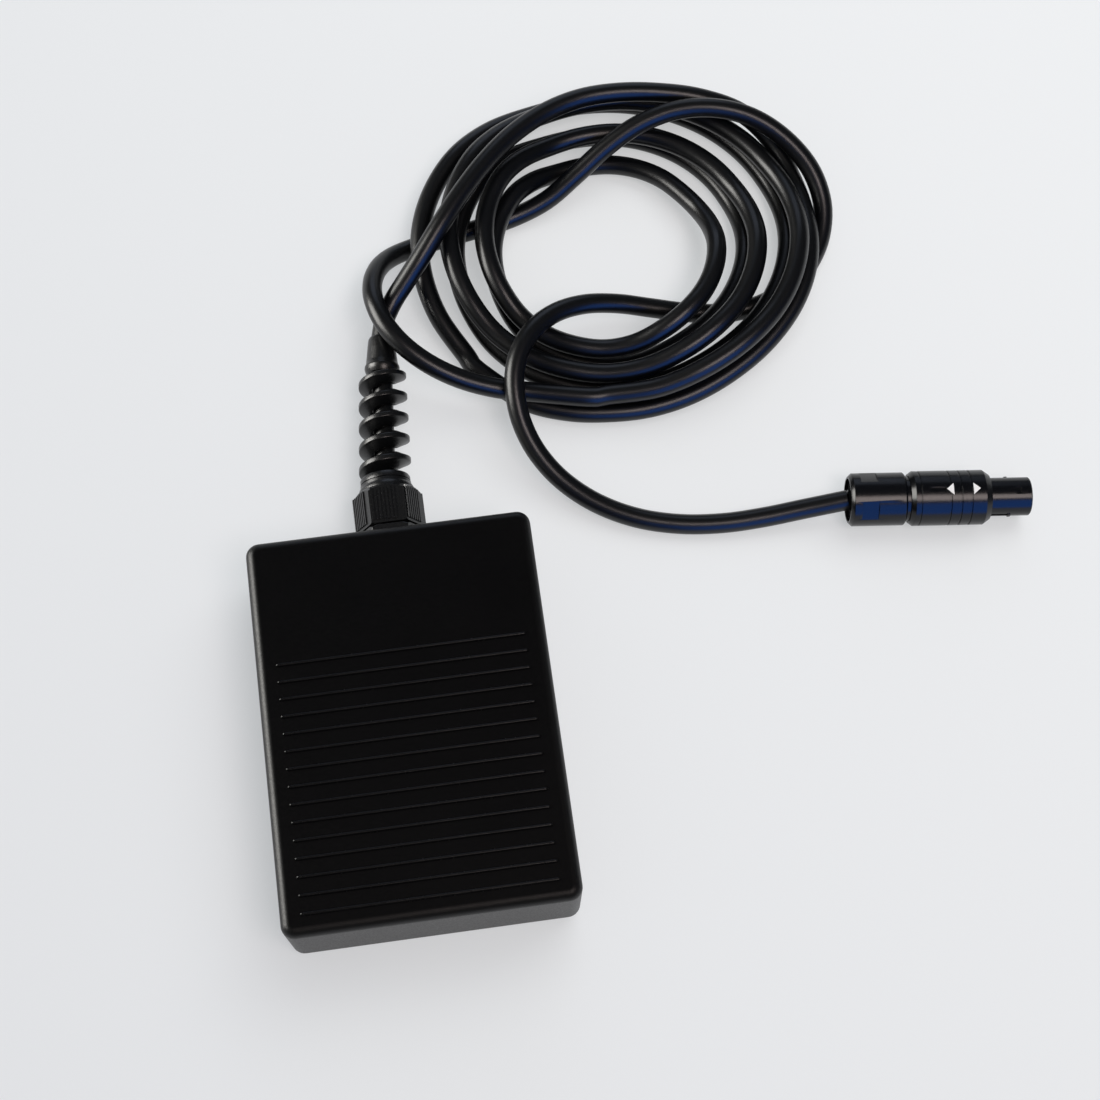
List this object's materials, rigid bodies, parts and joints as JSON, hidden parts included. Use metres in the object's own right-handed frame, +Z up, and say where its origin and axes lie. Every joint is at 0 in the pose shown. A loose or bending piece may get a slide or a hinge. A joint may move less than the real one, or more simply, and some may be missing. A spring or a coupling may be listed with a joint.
{
  "type": "sewing machine pedal",
  "caption": "Low foot pedal: a ribbed treadle hinged over a flat base, a gland with a spiral bend guard, a coiled cord and a push-pull plug.",
  "frame": {"origin": "on the floor, under the middle of the pedal body", "axes": "+X to the right, +Y to the rear where the cord leaves, +Z up"},
  "size_m": [0.2059, 0.2329, 0.0305],
  "materials": {
    "treadle_plastic": "fine spark texture",
    "base_plastic": "fine spark texture",
    "foot_rubber": "matte",
    "steel": "plain",
    "spring_steel": "plain",
    "board": "solder mask",
    "sensor_plastic": "plain",
    "arm_plastic": "plain",
    "switch_plastic": "plain",
    "plunger_plastic": "plain",
    "connector_plastic": "plain",
    "wires": "plain",
    "gland_nylon": "moulded",
    "seal_rubber": "matte",
    "cord_jacket": "semi-gloss PVC",
    "plug_plastic": "satin",
    "mark_white": "printed",
    "insert_plastic": "plain",
    "contact_metal": "plated"
  },
  "bodies": {
    "base": {"base_shell": "base_plastic", "rubber_feet": "foot_rubber", "hinge_pins": "steel", "pin_clips": "steel", "spring_left": "spring_steel", "spring_right": "spring_steel", "travel_stops": "foot_rubber", "circuit_board": "board", "board_screws": "steel", "sensor_body": "sensor_plastic", "switch_body": "switch_plastic", "wire_connector": "connector_plastic", "inner_wires": "wires", "cord_clamp": "base_plastic", "clamp_screws": "steel", "gland_body": "gland_nylon", "gland_washer": "seal_rubber", "gland_locknut": "gland_nylon", "gland_seal": "seal_rubber", "gland_nut": "gland_nylon", "bend_guard": "gland_nylon", "cord_in_gland": "cord_jacket", "cord_tail": "cord_jacket", "cord_coil": "cord_jacket", "cord_lead": "cord_jacket", "plug_cord_end": "cord_jacket", "plug_back_nut": "plug_plastic", "plug_collet": "switch_plastic", "plug_core": "plug_plastic", "plug_insert": "insert_plastic", "plug_contacts": "contact_metal"},
    "treadle": {"treadle": "treadle_plastic"},
    "sensor_arm": {"sensor_arm": "arm_plastic"},
    "switch_lever": {"switch_lever": "steel"},
    "switch_plunger": {"switch_plunger": "plunger_plastic"},
    "plug_sleeve": {"plug_sleeve": "plug_plastic", "plug_marks": "mark_white"}
  },
  "joints": [
    {"name": "treadle_press", "type": "hinge", "parent": "base", "child": "treadle", "pos_m": [0, 0.0401, 0.01], "axis": [1, 0, 0], "range_deg": [0, 2], "stiffness_Nm_per_rad": 12, "springref_deg": -2.86, "deforming": ["spring_left", "spring_right"]},
    {"name": "sensor_turn", "type": "hinge", "parent": "base", "child": "sensor_arm", "pos_m": [-0.003, 0.004, 0.0155], "axis": [1, 0, 0], "range_deg": [0, 5.5]},
    {"name": "switch_lever_turn", "type": "hinge", "parent": "base", "child": "switch_lever", "pos_m": [-0.012, 0.013, 0.0174], "axis": [1, 0, 0], "range_deg": [0, 6]},
    {"name": "switch_plunger_slide", "type": "slide", "parent": "base", "child": "switch_plunger", "axis": [0, 0, -1], "range_m": [0, 0.0007]},
    {"name": "plug_sleeve_slide", "type": "slide", "parent": "base", "child": "plug_sleeve", "axis": [-0.9938, 0.1115, 0], "range_m": [0, 0.0007], "stiffness_N_per_m": 1500, "springref_m": -0.0005}
  ],
  "couplings": [
    {"joint": "sensor_turn", "follows": "treadle_press", "ratio": 2.6409},
    {"joint": "switch_lever_turn", "follows": "treadle_press", "ratio": 2.8067},
    {"joint": "switch_plunger_slide", "follows": "treadle_press", "m_per_rad": 0.0165}
  ]
}
